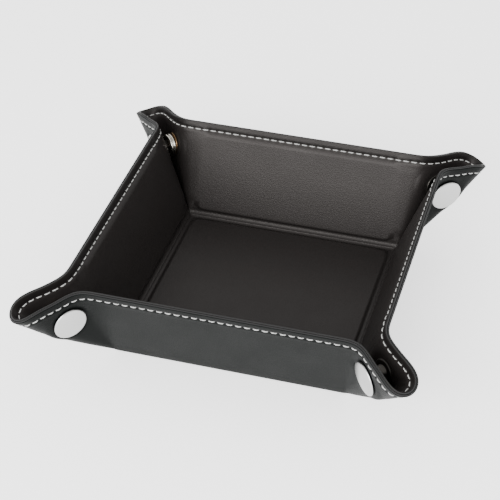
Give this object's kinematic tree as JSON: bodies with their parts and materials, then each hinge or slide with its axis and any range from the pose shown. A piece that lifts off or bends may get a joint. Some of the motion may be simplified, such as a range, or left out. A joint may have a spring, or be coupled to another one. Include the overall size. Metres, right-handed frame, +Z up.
{
  "type": "folding dice tray",
  "caption": "Square padded leather tray whose four walls stand up when the corners are pinched together by press snaps, and which opens out to a flat sheet.",
  "frame": {"origin": "centre of the floor's underside, on the table", "axes": "+Z up out of the tray, +Y towards the back wall, +X towards the right wall"},
  "size_m": [0.1784, 0.1784, 0.0457],
  "materials": {
    "outer_leather": "fine grained, satin",
    "lining_leather": "fine grained, satin",
    "greyboard": "matt",
    "thread": "matt, twisted",
    "cap_steel": "satin nickel plate",
    "snap_metal": "nickel plated brass"
  },
  "bodies": {
    "floor": {"floor_board": "greyboard", "floor_cover": "outer_leather", "floor_lining": "lining_leather"},
    "front_wall": {"front_wall_cover": "outer_leather", "front_wall_board": "greyboard", "front_wall_lining": "lining_leather", "front_wall_thread": "thread"},
    "front_wall_right_gusset": {"front_wall_right_gusset_cover": "outer_leather", "front_wall_right_gusset_lining": "lining_leather", "front_wall_right_cap": "cap_steel", "front_wall_right_socket": "snap_metal"},
    "front_wall_right_tip": {"front_wall_right_tip_leather": "lining_leather"},
    "front_wall_left_gusset": {"front_wall_left_gusset_cover": "outer_leather", "front_wall_left_gusset_lining": "lining_leather", "front_wall_left_cap": "cap_steel", "front_wall_left_stud": "snap_metal"},
    "front_wall_left_tip": {"front_wall_left_tip_leather": "lining_leather"},
    "right_wall": {"right_wall_cover": "outer_leather", "right_wall_board": "greyboard", "right_wall_lining": "lining_leather", "right_wall_thread": "thread"},
    "right_wall_back_gusset": {"right_wall_back_gusset_cover": "outer_leather", "right_wall_back_gusset_lining": "lining_leather", "right_wall_back_cap": "cap_steel", "right_wall_back_socket": "snap_metal"},
    "right_wall_back_tip": {"right_wall_back_tip_leather": "lining_leather"},
    "right_wall_front_gusset": {"right_wall_front_gusset_cover": "outer_leather", "right_wall_front_gusset_lining": "lining_leather", "right_wall_front_cap": "cap_steel", "right_wall_front_stud": "snap_metal"},
    "right_wall_front_tip": {"right_wall_front_tip_leather": "lining_leather"},
    "back_wall": {"back_wall_cover": "outer_leather", "back_wall_board": "greyboard", "back_wall_lining": "lining_leather", "back_wall_thread": "thread"},
    "back_wall_left_gusset": {"back_wall_left_gusset_cover": "outer_leather", "back_wall_left_gusset_lining": "lining_leather", "back_wall_left_cap": "cap_steel", "back_wall_left_socket": "snap_metal"},
    "back_wall_left_tip": {"back_wall_left_tip_leather": "lining_leather"},
    "back_wall_right_gusset": {"back_wall_right_gusset_cover": "outer_leather", "back_wall_right_gusset_lining": "lining_leather", "back_wall_right_cap": "cap_steel", "back_wall_right_stud": "snap_metal"},
    "back_wall_right_tip": {"back_wall_right_tip_leather": "lining_leather"},
    "left_wall": {"left_wall_cover": "outer_leather", "left_wall_board": "greyboard", "left_wall_lining": "lining_leather", "left_wall_thread": "thread"},
    "left_wall_front_gusset": {"left_wall_front_gusset_cover": "outer_leather", "left_wall_front_gusset_lining": "lining_leather", "left_wall_front_cap": "cap_steel", "left_wall_front_socket": "snap_metal"},
    "left_wall_front_tip": {"left_wall_front_tip_leather": "lining_leather"},
    "left_wall_back_gusset": {"left_wall_back_gusset_cover": "outer_leather", "left_wall_back_gusset_lining": "lining_leather", "left_wall_back_cap": "cap_steel", "left_wall_back_stud": "snap_metal"},
    "left_wall_back_tip": {"left_wall_back_tip_leather": "lining_leather"}
  },
  "joints": [
    {"name": "front_wall_fold", "type": "hinge", "parent": "floor", "child": "front_wall", "pos_m": [0, -0.0525, 0.001], "axis": [1, 0, 0], "range_deg": [0, 69]},
    {"name": "front_wall_right_gusset_fold", "type": "hinge", "parent": "front_wall", "child": "front_wall_right_gusset", "pos_m": [0.0525, -0.0525, 0.001], "axis": [0.1736, -0.3685, 0.9133], "range_deg": [0, 50.09]},
    {"name": "front_wall_right_tip_fold", "type": "hinge", "parent": "front_wall_right_gusset", "child": "front_wall_right_tip", "pos_m": [0.0525, -0.0525, 0.001], "axis": [-0.4954, 0.6249, -0.6033], "range_deg": [0, 87.87]},
    {"name": "front_wall_left_gusset_fold", "type": "hinge", "parent": "front_wall", "child": "front_wall_left_gusset", "pos_m": [-0.0525, -0.0525, 0.001], "axis": [0.1736, 0.3685, -0.9133], "range_deg": [0, 50.09]},
    {"name": "front_wall_left_tip_fold", "type": "hinge", "parent": "front_wall_left_gusset", "child": "front_wall_left_tip", "pos_m": [-0.0525, -0.0525, 0.001], "axis": [-0.4954, -0.6249, 0.6033], "range_deg": [0, 87.87]},
    {"name": "right_wall_fold", "type": "hinge", "parent": "floor", "child": "right_wall", "pos_m": [0.0525, 0, 0.001], "axis": [0, 1, 0], "range_deg": [0, 69]},
    {"name": "right_wall_back_gusset_fold", "type": "hinge", "parent": "right_wall", "child": "right_wall_back_gusset", "pos_m": [0.0525, 0.0525, 0.001], "axis": [0.3685, 0.1736, 0.9133], "range_deg": [0, 50.09]},
    {"name": "right_wall_back_tip_fold", "type": "hinge", "parent": "right_wall_back_gusset", "child": "right_wall_back_tip", "pos_m": [0.0525, 0.0525, 0.001], "axis": [-0.6249, -0.4954, -0.6033], "range_deg": [0, 87.87]},
    {"name": "right_wall_front_gusset_fold", "type": "hinge", "parent": "right_wall", "child": "right_wall_front_gusset", "pos_m": [0.0525, -0.0525, 0.001], "axis": [-0.3685, 0.1736, -0.9133], "range_deg": [0, 50.09]},
    {"name": "right_wall_front_tip_fold", "type": "hinge", "parent": "right_wall_front_gusset", "child": "right_wall_front_tip", "pos_m": [0.0525, -0.0525, 0.001], "axis": [0.6249, -0.4954, 0.6033], "range_deg": [0, 87.87]},
    {"name": "back_wall_fold", "type": "hinge", "parent": "floor", "child": "back_wall", "pos_m": [0, 0.0525, 0.001], "axis": [-1, 0, 0], "range_deg": [0, 69]},
    {"name": "back_wall_left_gusset_fold", "type": "hinge", "parent": "back_wall", "child": "back_wall_left_gusset", "pos_m": [-0.0525, 0.0525, 0.001], "axis": [-0.1736, 0.3685, 0.9133], "range_deg": [0, 50.09]},
    {"name": "back_wall_left_tip_fold", "type": "hinge", "parent": "back_wall_left_gusset", "child": "back_wall_left_tip", "pos_m": [-0.0525, 0.0525, 0.001], "axis": [0.4954, -0.6249, -0.6033], "range_deg": [0, 87.87]},
    {"name": "back_wall_right_gusset_fold", "type": "hinge", "parent": "back_wall", "child": "back_wall_right_gusset", "pos_m": [0.0525, 0.0525, 0.001], "axis": [-0.1736, -0.3685, -0.9133], "range_deg": [0, 50.09]},
    {"name": "back_wall_right_tip_fold", "type": "hinge", "parent": "back_wall_right_gusset", "child": "back_wall_right_tip", "pos_m": [0.0525, 0.0525, 0.001], "axis": [0.4954, 0.6249, 0.6033], "range_deg": [0, 87.87]},
    {"name": "left_wall_fold", "type": "hinge", "parent": "floor", "child": "left_wall", "pos_m": [-0.0525, 0, 0.001], "axis": [0, -1, 0], "range_deg": [0, 69]},
    {"name": "left_wall_front_gusset_fold", "type": "hinge", "parent": "left_wall", "child": "left_wall_front_gusset", "pos_m": [-0.0525, -0.0525, 0.001], "axis": [-0.3685, -0.1736, 0.9133], "range_deg": [0, 50.09]},
    {"name": "left_wall_front_tip_fold", "type": "hinge", "parent": "left_wall_front_gusset", "child": "left_wall_front_tip", "pos_m": [-0.0525, -0.0525, 0.001], "axis": [0.6249, 0.4954, -0.6033], "range_deg": [0, 87.87]},
    {"name": "left_wall_back_gusset_fold", "type": "hinge", "parent": "left_wall", "child": "left_wall_back_gusset", "pos_m": [-0.0525, 0.0525, 0.001], "axis": [0.3685, -0.1736, -0.9133], "range_deg": [0, 50.09]},
    {"name": "left_wall_back_tip_fold", "type": "hinge", "parent": "left_wall_back_gusset", "child": "left_wall_back_tip", "pos_m": [-0.0525, 0.0525, 0.001], "axis": [-0.6249, 0.4954, 0.6033], "range_deg": [0, 87.87]}
  ],
  "couplings": [
    {"joint": "front_wall_right_gusset_fold", "follows": "front_wall_fold", "ratio": 0.72584},
    {"joint": "front_wall_right_tip_fold", "follows": "front_wall_fold", "ratio": 1.2734},
    {"joint": "front_wall_left_gusset_fold", "follows": "front_wall_fold", "ratio": 0.72584},
    {"joint": "front_wall_left_tip_fold", "follows": "front_wall_fold", "ratio": 1.2734},
    {"joint": "right_wall_fold", "follows": "front_wall_fold", "ratio": 1},
    {"joint": "right_wall_back_gusset_fold", "follows": "front_wall_fold", "ratio": 0.72584},
    {"joint": "right_wall_back_tip_fold", "follows": "front_wall_fold", "ratio": 1.2734},
    {"joint": "right_wall_front_gusset_fold", "follows": "front_wall_fold", "ratio": 0.72584},
    {"joint": "right_wall_front_tip_fold", "follows": "front_wall_fold", "ratio": 1.2734},
    {"joint": "back_wall_fold", "follows": "front_wall_fold", "ratio": 1},
    {"joint": "back_wall_left_gusset_fold", "follows": "front_wall_fold", "ratio": 0.72584},
    {"joint": "back_wall_left_tip_fold", "follows": "front_wall_fold", "ratio": 1.2734},
    {"joint": "back_wall_right_gusset_fold", "follows": "front_wall_fold", "ratio": 0.72584},
    {"joint": "back_wall_right_tip_fold", "follows": "front_wall_fold", "ratio": 1.2734},
    {"joint": "left_wall_fold", "follows": "front_wall_fold", "ratio": 1},
    {"joint": "left_wall_front_gusset_fold", "follows": "front_wall_fold", "ratio": 0.72584},
    {"joint": "left_wall_front_tip_fold", "follows": "front_wall_fold", "ratio": 1.2734},
    {"joint": "left_wall_back_gusset_fold", "follows": "front_wall_fold", "ratio": 0.72584},
    {"joint": "left_wall_back_tip_fold", "follows": "front_wall_fold", "ratio": 1.2734}
  ]
}
